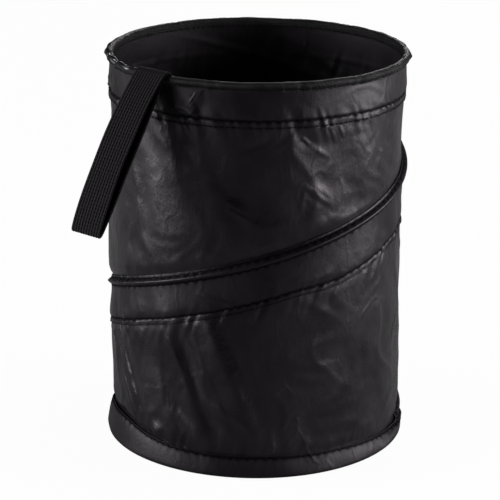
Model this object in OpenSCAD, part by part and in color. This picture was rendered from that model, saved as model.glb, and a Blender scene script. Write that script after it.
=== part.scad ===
// Pop-up bin for a car: a fabric tube on one sprung wire, with a hanging loop.
// The wire makes a closed turn in the rim, runs down the wall as a helix inside
// a sewn tape, and makes a second closed turn in the base hem.
// The origin is the middle of the underside, +Z is up and -Y is the front.

/* [Bin] */
// Height of the rim's top edge above the floor
bin_h = 210; // [170:1:260]
// Diameter of the wire's closed turns, to the middle of the wire
hoop_d = 156.2; // [130:0.2:200]

/* [Cloth] */
// Thickness of the wall's coated cloth
cloth_t = 0.6; // [0.4:0.1:0.9]
// Thickness of the binding, the bands and the tape
tape_t = 0.5; // [0.4:0.1:0.8]
// Room between the wall and what is sewn round it
cloth_gap = 0.3; // [0.2:0.1:0.5]
// How far the cloth between the turns is drawn in
waist = 0.9; // [0:0.1:1.5]

/* [Wire] */
// Diameter of the spring wire
wire_d = 2; // [1.5:0.1:2.4]
// Room round the wire inside its tunnel
wire_gap = 0.2; // [0.15:0.05:0.4]
// Drop of one full turn of the helix
helix_drop = 138; // [110:1:180]
// Angle at which the wire leaves the rim, from +X
leave_angle = 154; // [145:1:165]
// Angle over which the wire bends out of a closed turn
bend_angle = 10; // [6:1:16]

/* [Helical tape] */
// Height of the tape from the wire down to its lower seam
tape_h = 22; // [18:0.5:30]
// Extra height of the tape above its step at the front
tape_step = 4.5; // [0:0.5:8]
// Height of the hem from the wire up to the tape's top edge
tape_hem = 3.4; // [3:0.1:5]

/* [Rim] */
// Height of the binding folded over the top turn
binding_h = 5.1; // [4.9:0.1:7]
// Width of the binding across the top
binding_w = 4.6; // [4.4:0.1:6]
// Height of the band sewn below the binding
rim_band_h = 19.2; // [14:0.1:26]

/* [Base] */
// Height of the hem that holds the bottom turn
base_hem_h = 11.8; // [10:0.1:16]
// Height of the hem's lip above its round part
base_lip_h = 1.5; // [1:0.1:2.5]
// Thickness of the stiff base panel
base_panel_t = 1.4; // [1:0.1:3]

/* [Hanging loop] */
// Width of the elastic webbing
loop_w = 20; // [12:0.5:26]
// Thickness of one layer of the webbing
loop_t = 0.9; // [0.8:0.1:1.6]
// Angle round the rim at which the loop hangs, from +X
loop_angle = -132; // [-150:1:-110]
// How far the loop's end stands out from the rim's middle line
loop_reach = 51.2; // [35:0.2:60]
// How far the loop's end hangs below the rim's top edge
loop_drop = 73.4; // [50:0.2:90]
// Bow of the loop above a straight line
loop_bow = 4; // [0:0.5:8]
// Half the room between the two layers at the middle
loop_slack = 2.3; // [0.6:0.1:4]
// Length of the sewn ends inside the rim
loop_tail = 19; // [10:0.5:24]

/* [Hidden] */

hoop_r = hoop_d / 2;
wire_r = wire_d / 2;
wall_r = hoop_r - wire_r - wire_gap;
wall_in = wall_r - cloth_t;
band_r = wall_r + cloth_gap;
band_out = band_r + tape_t;

// The binding is a rounded fold round the wire, drawn in below it
binding_low = bin_h - binding_h;
fold_r = binding_w / 2;
fold_z = bin_h - fold_r;
fold_mid = wall_in - cloth_gap - tape_t + fold_r;
ring_z = bin_h - tape_t - wire_gap - wire_r - 0.5;
wall_top = ring_z - wire_r - 0.6;
rim_hem_z = binding_low - rim_band_h;
lip_gap = 0.1;

// The base hem is flat below, round outside and drawn in at its lip
hem_in = wall_in - cloth_gap - tape_t;
base_ring_z = tape_t + wire_gap + wire_r + 0.5;
wall_bottom = base_ring_z + wire_r + 0.5;
bulge_r = hoop_r + wire_r + wire_gap + tape_t + 0.3;
hem_inner_h = wall_bottom + 2.4;
lip_low = base_hem_h - base_lip_h;
bulge_top = base_hem_h * 0.58;

// The wire's route: how far it has dropped at u degrees after it leaves the rim
slope = helix_drop / 360;
drop_all = ring_z - base_ring_z;
sweep_all = drop_all / slope + bend_angle;
function dropped(u) =
    u <= 0 ? 0
    : u < bend_angle ? slope * u * u / (2 * bend_angle)
    : u < sweep_all - bend_angle ? slope * (u - bend_angle / 2)
    : u < sweep_all ? drop_all - slope * pow(sweep_all - u, 2) / (2 * bend_angle)
    : drop_all;
function wire_z(t) = ring_z - dropped(leave_angle - t);
// The angle at which the helix passes a height
function wire_angle(z) = leave_angle - bend_angle / 2 - (ring_z - z) / slope;
// The angle that a free end keeps clear of the wire passing beside it
end_clear = bend_angle / 2 + (wire_d + 0.5) / slope;

function smooth(x) = x <= 0 ? 0 : x >= 1 ? 1 : x * x * (3 - 2 * x);
function mix(a, b, s) = a + (b - a) * s;

// Where the tape steps to its full height, and over how many degrees
step_angle = -78;
step_sweep = 22;
function tape_drop(t) = tape_h + tape_step * smooth((t - step_angle) / step_sweep);
tape_start = wire_angle(binding_low - cloth_gap - 2.1);
tape_end = wire_angle(bulge_top + 2.7);
band_end = wire_angle(rim_hem_z - cloth_gap - tape_hem);

// Folds in the wall: from angle and share of the height, to angle and share,
// then the depth and the half width
FOLDS = [
    [-137, 0.38, -119, 0.11, 1.9, 6], [-156, 0.31, -142, 0.13, 1.1, 6],
    [-112, 0.36, -100, 0.20, 0.7, 7], [-9, 0.54, 13, 0.14, 1.2, 6],
    [17, 0.54, 37, 0.17, 0.9, 6], [41, 0.46, 62, 0.18, 1.2, 6],
    [60, 0.68, 76, 0.50, 1.4, 6], [81, 0.60, 100, 0.40, 1.3, 6],
    [105, 0.66, 122, 0.44, 1.6, 8], [132, 0.70, 146, 0.48, 0.8, 7],
    [165, 0.84, 178, 0.56, 0.8, 8], [-178, 0.88, -166, 0.64, 0.8, 7],
    [-136, 0.85, -122, 0.60, 0.5, 7], [-76, 0.88, -60, 0.72, 0.6, 7],
    [-34, 0.80, -18, 0.72, 0.5, 7], [78, 0.22, 92, 0.10, 0.9, 6]
];
fold_most = 2.4;
seam_reach = 15;

function side_angle(a) = a > 180 ? a - 360 : a;
// Distance on the wall from a point to one fold's line
function fold_distance(a, z, f) =
    let (p = [a, z], q = [f[0], f[1] * bin_h], r = [f[2], f[3] * bin_h],
         k = wall_r * PI / 180,
         pq = [(p[0] - q[0]) * k, p[1] - q[1]],
         rq = [(r[0] - q[0]) * k, r[1] - q[1]],
         s = min(1, max(0, (pq * rq) / (rq * rq))))
    norm(pq - rq * s);
function fold_depth(a, z) =
    sum_of([for (f = FOLDS) f[4] * exp(-pow(fold_distance(a, z, f) / f[5], 2))]);
function sum_of(v) = [for (x = v) 1] * v;
// Distance up or down the wall from the helical tape's nearest edge
function tape_distance(a, z) =
    min([for (turn = [0:2])
        let (t = a - 360 * turn, w = wire_z(t))
        t > leave_angle || t < leave_angle - sweep_all ? bin_h
        : z > w ? max(0, z - w - tape_hem) : max(0, w - tape_drop(t) - z)]);
function seam_distance(a, z) =
    min(tape_distance(a, z), max(0, rim_hem_z - z), max(0, z - base_hem_h));
function drawn_in(a, z) =
    smooth(seam_distance(a, z) / seam_reach)
    * min(fold_most, waist + fold_depth(side_angle(a), z));

// Faces of a closed tube with an inner and an outer skin, as two grids of points
function tube_faces(cols, rows) =
    let (half = cols * rows)
    [for (j = [0:rows - 2], i = [0:cols - 1])
        let (a = j * cols + i, b = j * cols + (i + 1) % cols, c = b + cols, d = a + cols)
        each [[a, c, b], [a, d, c], [half + a, half + b, half + c],
              [half + a, half + c, half + d]],
     for (i = [0:cols - 1])
        let (a = i, b = (i + 1) % cols, c = (rows - 1) * cols + i,
             d = (rows - 1) * cols + (i + 1) % cols)
        each [[a, b, half + b], [a, half + b, half + a],
              [c, half + d, d], [c, half + c, half + d]]];

// Faces of a bar with the same closed outline at every ring, its ends closed
// across from one half of the outline to the other
function bar_faces(rings, sides) =
    let (last = (rings - 1) * sides)
    [for (i = [0:sides / 2 - 2])
        let (a = i, b = i + 1, c = sides - 2 - i, d = sides - 1 - i)
        each [[a, b, c], [a, c, d], [last + a, last + c, last + b],
              [last + a, last + d, last + c]],
     for (j = [0:rings - 2], i = [0:sides - 1])
        let (a = j * sides + i, b = j * sides + (i + 1) % sides)
        each [[a, b + sides, b], [a, a + sides, b + sides]]];

// A point at an angle round the bin, a distance out and a height
function around(t, r, z) = [r * cos(t), r * sin(t), z];

// Points of an arc in a turned outline
function arc(cx, cz, rx, rz, from, to, steps) =
    [for (i = [0:steps]) let (v = from + (to - from) * i / steps)
        [cx + rx * cos(v), cz + rz * sin(v)]];

// What is cut from a hem where the wire passes through it
module wire_notch(from, to, low, high) {
    rotate([0, 0, to])
        rotate_extrude(angle = from - to)
            translate([wall_r + 0.05, low])
                square([hoop_r + wire_d * 2 - wall_r, high - low]);
}

module base_panel() {
    color("#26262a")
    cylinder(r = hem_in, h = base_panel_t, $fn = 96);
}

// Outline of the base hem: inner leg, flat bottom, round bulge and lip
module base_hem_outline() {
    corner = 2.4;
    outer = concat(
        [[hem_in, hem_inner_h], [hem_in, 0]],
        arc(bulge_r - corner, corner, corner, corner, -90, 0, 6),
        [[bulge_r, bulge_top - 1.6]],
        arc(band_out, bulge_top - 1.6, bulge_r - band_out, lip_low - bulge_top + 1.6, 15, 90, 6),
        [[band_out, base_hem_h]]);
    inner = concat(
        [[band_r, base_hem_h], [band_r, lip_low - tape_t]],
        arc(band_r, bulge_top - 1.6, bulge_r - band_r - tape_t,
            lip_low - bulge_top + 1.6 - tape_t, 80, 0, 6),
        arc(bulge_r - corner, corner, corner - tape_t, corner - tape_t, 0, -90, 5),
        [[hem_in + tape_t, tape_t], [hem_in + tape_t, hem_inner_h]]);
    polygon(concat(outer, inner));
}

module base_hem() {
    color("#202024")
    difference() {
        rotate_extrude($fn = 96) base_hem_outline();
        wire_notch(wire_angle(base_hem_h + tape_hem), wire_angle(bulge_top - 1),
                   bulge_top - 1, base_hem_h + 1);
    }
}

// The wall: one tube of cloth, drawn in and creased between its seams
module wall_panel() {
    cols = 60;
    rows = 18;
    level = [for (j = [0:rows - 1]) mix(wall_bottom, wall_top, j / (rows - 1))];
    skin = [for (r = [wall_r, wall_in])
        for (j = [0:rows - 1], i = [0:cols - 1])
            let (a = 360 * i / cols) around(a, r - drawn_in(a, level[j]), level[j])];
    color("#2a2a2e")
    polyhedron(points = skin, faces = tube_faces(cols, rows), convexity = 6);
}

// The tape's section at one angle, as distances out and heights above the wire
function tape_section(t) =
    let (w = wire_z(t), up = min(tape_hem, binding_low - cloth_gap - w),
         down = min(tape_drop(t), w - (w > base_hem_h + 3 ? base_hem_h + cloth_gap : 0)),
         foot = w > base_hem_h + 3 ? down : 2.6,
         c = hoop_r + wire_r + wire_gap + 0.1)
    [[band_r, up], [band_r, 1.9], [hoop_r + 0.5, 1.5], [c, 0.35], [c, -0.35],
     [hoop_r + 0.5, -1.5], [band_r, -1.9], [band_r, -foot],
     [band_out, -foot], [band_out, -2.5], [hoop_r + 0.9, -1.95], [c + tape_t, -0.4],
     [c + tape_t, 0.4], [hoop_r + 0.9, 1.95], [band_out, min(2.5, up - 0.1)], [band_out, up]];

module helical_tape() {
    rings = ceil((tape_start - tape_end) / 6);
    turn = [for (j = [0:rings]) mix(tape_start, tape_end, j / rings)];
    sections = [for (t = turn) each [for (p = tape_section(t)) around(t, p[0], wire_z(t) + p[1])]];
    color("#1c1c20")
    polyhedron(points = sections, faces = bar_faces(rings + 1, 16), convexity = 8);
}

// The wire: closed turn in the rim, helix, closed turn in the base hem
module spring_wire() {
    sides = 8;
    first = leave_angle + 360 - end_clear;
    last = leave_angle - sweep_all - 360 + end_clear;
    rings = ceil((first - last) / 6);
    tilt = 1 / cos(atan(helix_drop / (PI * hoop_d)));
    rod = [for (j = [0:rings]) let (t = mix(first, last, j / rings))
        each [for (i = [0:sides - 1]) let (v = 360 * (i + 0.5) / sides)
            around(t, hoop_r + wire_r * cos(v), wire_z(t) + wire_r * tilt * sin(v))]];
    color("#8d9096")
    polyhedron(points = rod, faces = bar_faces(rings + 1, sides), convexity = 8);
}

// Outline of the binding: a fold over the wire with its outer leg drawn in
module binding_outline() {
    in = fold_r - tape_t;
    foot = band_out + lip_gap;
    outer = concat(
        [[fold_mid - fold_r, binding_low]],
        arc(fold_mid, fold_z, fold_r, fold_r, 180, -8, 16),
        [[foot + tape_t, binding_low]]);
    inner = concat(
        [[foot, binding_low], [foot, binding_low + 0.4]],
        arc(fold_mid, fold_z, in, in, -14, 180, 16),
        [[fold_mid - in, binding_low]]);
    polygon(concat(outer, inner));
}

module rim_binding() {
    color("#18181b")
    difference() {
        rotate_extrude($fn = 96) binding_outline();
        wire_notch(leave_angle - 1, wire_angle(binding_low - wire_r - 0.4),
                   binding_low - 1, fold_z - 0.75);
    }
}

// The band under the binding, open where the helical tape takes its place
module rim_band() {
    start = tape_start + 0.4;
    notch = leave_angle - start;
    color("#202024")
    difference() {
        rotate([0, 0, start])
            rotate_extrude(angle = band_end + 360 - start, $fn = 96)
                translate([band_r, rim_hem_z]) square([tape_t, ring_z - wire_r - 0.3 - rim_hem_z]);
        rotate([0, 0, start - 1])
            rotate_extrude(angle = notch + 1)
                translate([band_r - 1, wire_z(start) - wire_r - 0.4])
                    square([tape_t + 2, bin_h]);
    }
}

// The rim curves away behind the loop's flat width, so its fold has room for that
loop_sag = (hoop_r - sqrt(hoop_r * hoop_r - loop_w * loop_w / 4)) / 2;
loop_mid = fold_mid - loop_sag;
loop_bend = fold_r + cloth_gap + loop_sag;

// Middle line of the hanging part of the loop, from the rim to its end
loop_from = [loop_mid + loop_bend + loop_t, fold_z + 0.4];
loop_to = [fold_mid + loop_reach, bin_h - loop_drop];
loop_len = norm(loop_to - loop_from);
loop_dir = (loop_to - loop_from) / loop_len;
loop_out = [-loop_dir[1], loop_dir[0]];
function loop_line(s) = loop_from + (loop_to - loop_from) * s + loop_out * 4 * loop_bow * s * (1 - s);
function loop_room(s) = loop_slack * pow(sin(180 * pow(s, 0.8)), 0.6) + 0.8 * s;

// The loop seen from its side: folded over the rim, two layers meeting in a round end
module loop_outline() {
    steps = 18;
    over = arc(loop_mid, fold_z, loop_bend, loop_bend, 180, 12, 8);
    above = arc(loop_mid, fold_z, loop_bend + 2 * loop_t, loop_bend + 2 * loop_t, 180, 40, 8);
    end_r = loop_room(1) + loop_t;
    turned = atan2(loop_dir[1], loop_dir[0]);
    back = [for (i = [1:steps]) let (s = i / steps) loop_line(s) - loop_out * (loop_room(s) + loop_t)];
    front = [for (i = [steps:-1:1]) let (s = i / steps) loop_line(s) + loop_out * (loop_room(s) + loop_t)];
    end = [for (v = [-75:15:75]) loop_to + end_r * [cos(turned + v), sin(turned + v)]];
    difference() {
        polygon(concat([[loop_mid - loop_bend, rim_hem_z + rim_band_h - loop_tail]], over, back, end, front,
            [for (i = [8:-1:0]) above[i]],
            [[loop_mid - loop_bend - 2 * loop_t, rim_hem_z + rim_band_h - loop_tail]]));
        polygon(concat(
            [for (i = [2:steps]) let (s = i / steps) loop_line(s) - loop_out * loop_room(s)],
            [for (v = [-60:20:60]) loop_to + (end_r - loop_t) * [cos(turned + v), sin(turned + v)]],
            [for (i = [steps:-1:2]) let (s = i / steps) loop_line(s) + loop_out * loop_room(s)]));
    }
}

module hanging_loop() {
    color("#141416")
    rotate([0, 0, loop_angle])
        translate([0, loop_w / 2, 0]) rotate([90, 0, 0])
            linear_extrude(height = loop_w) loop_outline();
}

base_panel();
base_hem();
wall_panel();
helical_tape();
spring_wire();
rim_binding();
rim_band();
hanging_loop();
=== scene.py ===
"""Dresses the pop-up car bin: creased nylon, its stitched tapes, the binding and the webbing loop."""

from __future__ import annotations

import logging
import math
from dataclasses import dataclass, field
from enum import Enum
from typing import Callable, Iterable

import bpy
import numpy as np
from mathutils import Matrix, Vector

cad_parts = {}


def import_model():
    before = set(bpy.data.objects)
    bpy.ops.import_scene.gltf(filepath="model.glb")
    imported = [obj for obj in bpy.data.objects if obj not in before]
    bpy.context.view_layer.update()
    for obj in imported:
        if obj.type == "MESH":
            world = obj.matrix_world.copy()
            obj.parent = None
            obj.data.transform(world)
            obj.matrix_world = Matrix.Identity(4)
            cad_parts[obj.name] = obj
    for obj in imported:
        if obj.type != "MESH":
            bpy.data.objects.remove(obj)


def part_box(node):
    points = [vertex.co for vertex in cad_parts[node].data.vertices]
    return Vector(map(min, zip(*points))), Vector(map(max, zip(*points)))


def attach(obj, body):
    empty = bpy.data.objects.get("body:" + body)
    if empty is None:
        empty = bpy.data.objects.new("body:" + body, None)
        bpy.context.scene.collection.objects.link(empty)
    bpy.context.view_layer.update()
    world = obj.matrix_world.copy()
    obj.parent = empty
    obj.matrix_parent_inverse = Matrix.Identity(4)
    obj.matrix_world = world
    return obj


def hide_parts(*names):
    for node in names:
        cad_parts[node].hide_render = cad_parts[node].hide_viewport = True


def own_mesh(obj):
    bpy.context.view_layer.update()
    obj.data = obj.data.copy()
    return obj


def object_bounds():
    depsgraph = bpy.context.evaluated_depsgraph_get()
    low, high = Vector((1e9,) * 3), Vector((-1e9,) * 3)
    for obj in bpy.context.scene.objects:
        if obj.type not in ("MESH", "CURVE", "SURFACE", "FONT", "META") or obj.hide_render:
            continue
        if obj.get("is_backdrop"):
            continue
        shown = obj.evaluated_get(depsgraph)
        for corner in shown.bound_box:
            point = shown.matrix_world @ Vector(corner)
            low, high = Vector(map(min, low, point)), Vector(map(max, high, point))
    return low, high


LOG = logging.getLogger("bin")
MM = 0.001
TURN = 360.0
WALL_R = 76.9 * MM
WEBBING_RIBS = 11
LINE_POINTS = 3000


# Sizes


@dataclass(frozen=True)
class Sizes:
    """The bin's driving sizes, in metres and degrees, as its construction has them."""

    top: float
    hoop_r: float
    wire_r: float = 1.0 * MM
    pitch: float = 138 * MM
    leave: float = 154.0
    bend: float = 10.0
    ring_below_top: float = 2.2 * MM
    base_ring: float = 2.2 * MM
    wall_r: float = WALL_R
    cloth: float = 0.6 * MM
    tape: float = 0.45 * MM
    band_r: float = 77.25 * MM
    rim_seam: float = 190.1 * MM
    rim_hem: float = 185.7 * MM
    binding_low: float = 204.9 * MM
    base_seam: float = 10.3 * MM
    base_hem: float = 11.8 * MM
    wall_bottom: float = 4.0 * MM
    wall_top: float = 205.8 * MM
    travel: float = 170 * MM

    @classmethod
    def from_frame(cls) -> "Sizes":
        """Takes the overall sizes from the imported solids."""
        low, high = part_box("spring_wire")
        return cls(top=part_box("rim_binding")[1][2], hoop_r=(high[0] - low[0]) / 2 - cls.wire_r)

    def along(self, angle: np.ndarray) -> np.ndarray:
        """Distance round the wall from +X to angles in degrees."""
        return np.radians(angle) * self.wall_r

    @property
    def ring_top(self) -> float:
        """Height of the wire's top turn."""
        return self.top - self.ring_below_top

    @property
    def keep(self) -> float:
        """Share of the wall's height that is left when the bin is pushed flat."""
        tall = self.wall_top - self.base_seam
        return (tall - self.travel) / tall


class WireRoute:
    """Where the spring wire runs: a turn in the rim, a helix and a turn in the base."""

    def __init__(self, sizes: Sizes) -> None:
        """Works out the helix from the sizes.

        Args:
            sizes: the bin's driving sizes.
        """
        self.sizes = sizes
        self.slope = sizes.pitch / TURN
        self.drop = sizes.ring_top - sizes.base_ring
        self.sweep = self.drop / self.slope + sizes.bend

    @property
    def end(self) -> float:
        """Angle at which the helix runs into the base turn."""
        return self.sizes.leave - self.sweep

    def z(self, angle: np.ndarray) -> np.ndarray:
        """Heights of the wire's middle at angles that fall as it winds down.

        Args:
            angle: degrees from +X, counted on past a full turn.

        Returns:
            The heights in metres.
        """
        bend, slope = self.sizes.bend, self.slope
        u = np.clip(self.sizes.leave - np.asarray(angle, float), 0, self.sweep)
        start = slope * u**2 / (2 * bend)
        middle = slope * (u - bend / 2)
        last = self.drop - slope * (self.sweep - u) ** 2 / (2 * bend)
        dropped = np.where(u < bend, start, np.where(u > self.sweep - bend, last, middle))
        return self.sizes.ring_top - dropped

    def angle(self, z: float) -> float:
        """Angle at which the straight part of the helix passes a height."""
        return self.sizes.leave - self.sizes.bend / 2 - (self.sizes.ring_top - z) / self.slope


# Uneven cloth


def smooth(x: np.ndarray) -> np.ndarray:
    """Runs smoothly from 0 at 0 to 1 at 1."""
    x = np.clip(x, 0, 1)
    return x * x * (3 - 2 * x)


def bell(x: np.ndarray) -> np.ndarray:
    """A rounded bump, 1 at 0."""
    return np.exp(-(x**2))


def turned_from(angle: np.ndarray, middle: float) -> np.ndarray:
    """Degrees from one angle to others, from -180 to 180."""
    return (angle - middle + 180) % TURN - 180


@dataclass(frozen=True)
class Ripples:
    """Soft unevenness of about unit height that closes on itself round the bin."""

    seed: int
    round_most: int
    up_most: float
    waves: int = 14
    round_least: int = 1

    def at(self, angle: np.ndarray, z: np.ndarray) -> np.ndarray:
        """The unevenness at angles in degrees and heights in metres."""
        draw = np.random.default_rng(self.seed)
        total = np.zeros(np.broadcast(angle, z).shape)
        for _ in range(self.waves):
            turns = int(draw.integers(self.round_least, self.round_most + 1))
            rise = draw.uniform(-self.up_most, self.up_most)
            phase = draw.uniform(0, 2 * math.pi)
            total += np.cos(np.radians(angle) * turns + 2 * math.pi * rise * z + phase)
        return total * math.sqrt(2 / self.waves)


def scallops(angle: np.ndarray) -> np.ndarray:
    """The uneven scallops, from -1 to 1, that single stitches pull along a seam."""
    size = 0.6 + 0.4 * np.cos(np.radians(angle * 17)) * np.cos(np.radians(angle * 5.3 + 40))
    return size * np.sin(np.radians(angle * 104 + 60 * np.sin(np.radians(angle * 11))))


@dataclass(frozen=True)
class Crease:
    """A sharp fold line in the cloth, from one angle and height to another."""

    angle_a: float
    z_a: float
    angle_b: float
    z_b: float
    depth: float
    width: float

    def at(self, angle: np.ndarray, z: np.ndarray, radius: float) -> np.ndarray:
        """How far the crease moves the cloth outwards at each point.

        Args:
            angle: degrees from +X.
            z: heights in metres.
            radius: radius of the cloth.

        Returns:
            The move in metres: a crest with a valley along one side.
        """
        off = turned_from(angle, self.angle_a)
        x = np.radians(off) * radius
        y = z - self.z_a
        dx = math.radians(turned_from(self.angle_b, self.angle_a)) * radius
        dy = self.z_b - self.z_a
        length = math.hypot(dx, dy)
        along = (x * dx + y * dy) / length**2
        across = (y * dx - x * dy) / length
        across = across + 0.12 * length * np.sin(along * 4.2 + self.angle_a)
        fade = smooth(along / 0.25) * smooth((1 - along) / 0.35)
        crest = np.exp(-np.abs(across) / (0.5 * self.width))
        slope = bell((across - 1.5 * self.width) / (1.6 * self.width))
        return self.depth * fade * (0.62 * crest - 0.42 * slope)


def puckers(along: np.ndarray, away: np.ndarray, length: float, reach: float, seed: int) -> np.ndarray:
    """Gathers that a row of stitches pulls into the cloth beside it.

    Args:
        along: metres along the seam.
        away: metres from the seam.
        length: mean distance from one gather to the next.
        reach: how far the gathers run out into the cloth.
        seed: seed of their spacing.

    Returns:
        The move outwards, of about unit height.
    """
    angle = np.degrees(along / WALL_R)
    drift = Ripples(seed, 23, 0, 9, 3).at(angle, 0 * angle)
    size = 0.55 + 0.45 * Ripples(seed + 1, 31, 0, 9, 5).at(angle, 0 * angle)
    wave = np.cos(2 * math.pi * along / length + 1.7 * drift)
    return size * wave * bell(away / reach)


# Meshes


def deselect() -> None:
    """Leaves nothing selected, in object mode."""
    if bpy.context.object and bpy.context.object.mode != "OBJECT":
        bpy.ops.object.mode_set(mode="OBJECT")
    bpy.ops.object.select_all(action="DESELECT")


def activate(piece: bpy.types.Object) -> None:
    """Selects one object and makes it the active one."""
    deselect()
    piece.select_set(True)
    bpy.context.view_layer.objects.active = piece


def apply_modifier(piece: bpy.types.Object, kind: str, name: str, **settings: object) -> None:
    """Adds a modifier with its settings and applies it."""
    activate(piece)
    modifier = piece.modifiers.new(name, kind)
    for key, value in settings.items():
        setattr(modifier, key, value)
    bpy.ops.object.modifier_apply(modifier=modifier.name)


def points_of(piece: bpy.types.Object) -> np.ndarray:
    """The mesh's vertices as rows."""
    flat = np.empty(len(piece.data.vertices) * 3)
    piece.data.vertices.foreach_get("co", flat)
    return flat.reshape(-1, 3)


def set_points(piece: bpy.types.Object, rows: np.ndarray) -> None:
    """Moves the mesh's vertices to the rows given."""
    piece.data.vertices.foreach_set("co", np.ascontiguousarray(rows, np.float32).ravel())
    piece.data.update()


def polar(angle: np.ndarray, r: np.ndarray, z: np.ndarray) -> np.ndarray:
    """Rows of points at angles in degrees round the bin."""
    turn = np.radians(angle)
    return np.stack(np.broadcast_arrays(r * np.cos(turn), r * np.sin(turn), z), axis=-1)


def cylinder_of(rows: np.ndarray) -> tuple[np.ndarray, np.ndarray, np.ndarray]:
    """Angles in degrees, radii and heights of rows of points."""
    return np.degrees(np.arctan2(rows[:, 1], rows[:, 0])), np.hypot(rows[:, 0], rows[:, 1]), rows[:, 2]


Shape = Callable[[np.ndarray, np.ndarray], np.ndarray]


def cloth_grid(name: str, across: int, up: int, shape: Shape, closed: bool = False) -> bpy.types.Object:
    """A cloth sheet made from a flat grid that is wrapped into its place.

    Args:
        name: name of the piece.
        across: faces along the grid's first side.
        up: faces along its second side.
        shape: gives the points at two shares from 0 to 1.
        closed: whether the first side closes on itself.

    Returns:
        The sheet, one layer thick, with its shares as the UV map.
    """
    deselect()
    corner = (0.5, 0.5, 0)
    bpy.ops.mesh.primitive_grid_add(x_subdivisions=across, y_subdivisions=up, size=1, location=corner)
    piece = bpy.context.object
    piece.name = piece.data.name = name
    bpy.ops.object.transform_apply(location=True)
    flat = points_of(piece)
    set_points(piece, shape(flat[:, 0], flat[:, 1]))
    if closed:
        bpy.ops.object.mode_set(mode="EDIT")
        bpy.ops.mesh.select_all(action="SELECT")
        bpy.ops.mesh.remove_doubles(threshold=0.00002)
        bpy.ops.object.mode_set(mode="OBJECT")
    return piece


def face_outwards(piece: bpy.types.Object) -> None:
    """Recalculates the normals of a closed mesh so that they point out."""
    activate(piece)
    bpy.ops.object.mode_set(mode="EDIT")
    bpy.ops.mesh.select_all(action="SELECT")
    bpy.ops.mesh.normals_make_consistent(inside=False)
    bpy.ops.object.mode_set(mode="OBJECT")


def darken(piece: bpy.types.Object, share: Callable[[np.ndarray, np.ndarray], np.ndarray]) -> None:
    """Marks where the cloth gets painted shade along a seam's stitched groove.

    Args:
        piece: the piece of cloth.
        share: gives the painted shade from 0 to 1 at angles and heights.
    """
    angle, _, z = cylinder_of(points_of(piece))
    # The seam mark carries that painted shade to the finish.
    marks = piece.data.attributes.new("seam", "FLOAT", "POINT")
    marks.data.foreach_set("value", np.clip(share(angle, z), 0, 1).astype(np.float32))


FaceMeasure = Callable[[bpy.types.MeshPolygon], float]


def turn_out(piece: bpy.types.Object, outermost: FaceMeasure | None = None) -> None:
    """Flips an open sheet if its faces look inwards.

    Args:
        piece: the sheet.
        outermost: gives how far out a face is, where the sheet folds back on itself.
    """
    faces = piece.data.polygons
    middle = faces[len(faces) // 2] if outermost is None else max(faces, key=outermost)
    if middle.normal.x * middle.center.x + middle.normal.y * middle.center.y < 0:
        activate(piece)
        bpy.ops.object.mode_set(mode="EDIT")
        bpy.ops.mesh.select_all(action="SELECT")
        bpy.ops.mesh.flip_normals()
        bpy.ops.object.mode_set(mode="OBJECT")


def thicken(piece: bpy.types.Object, depth: float, outward: bool = False) -> None:
    """Gives a sheet its thickness, inwards from its face or outwards."""
    apply_modifier(piece, "SOLIDIFY", "thickness", thickness=depth, offset=1.0 if outward else -1.0)


def smooth_faces(piece: bpy.types.Object, angle: float = 45.0) -> None:
    """Shades the piece smooth, with edges sharper than an angle left sharp."""
    activate(piece)
    bpy.ops.object.shade_smooth_by_angle(angle=math.radians(angle))


# Shader maths


class Value:
    """A number or colour in a material, which Python's operators work on."""

    def __init__(self, shader: "Shader", socket: bpy.types.NodeSocket) -> None:
        """Wraps an output socket.

        Args:
            shader: the material that holds it.
            socket: the output.
        """
        self.shader = shader
        self.socket = socket

    def maths(self, operation: str, *others: object) -> "Value":
        """Adds a Math node with this value first."""
        inputs = {0: self, **{i + 1: other for i, other in enumerate(others)}}
        return self.shader.node("ShaderNodeMath", {"operation": operation}, inputs)

    def __add__(self, other: object) -> "Value":
        return self.maths("ADD", other)

    __radd__ = __add__

    def __mul__(self, other: object) -> "Value":
        return self.maths("MULTIPLY", other)

    def __sub__(self, other: object) -> "Value":
        return self.maths("SUBTRACT", other)

    def __rsub__(self, other: object) -> "Value":
        return self.shader.node("ShaderNodeMath", {"operation": "SUBTRACT"}, {0: other, 1: self})

    def sine(self) -> "Value":
        """The value's sine."""
        return self.maths("SINE")

    def size(self) -> "Value":
        """The value without its sign."""
        return self.maths("ABSOLUTE")

    def ramp(self, low: float, high: float) -> "Value":
        """Runs smoothly from 0 at low to 1 at high."""
        settings = {"interpolation_type": "SMOOTHSTEP"}
        return self.shader.node("ShaderNodeMapRange", settings, {0: self, 1: low, 2: high})


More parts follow.
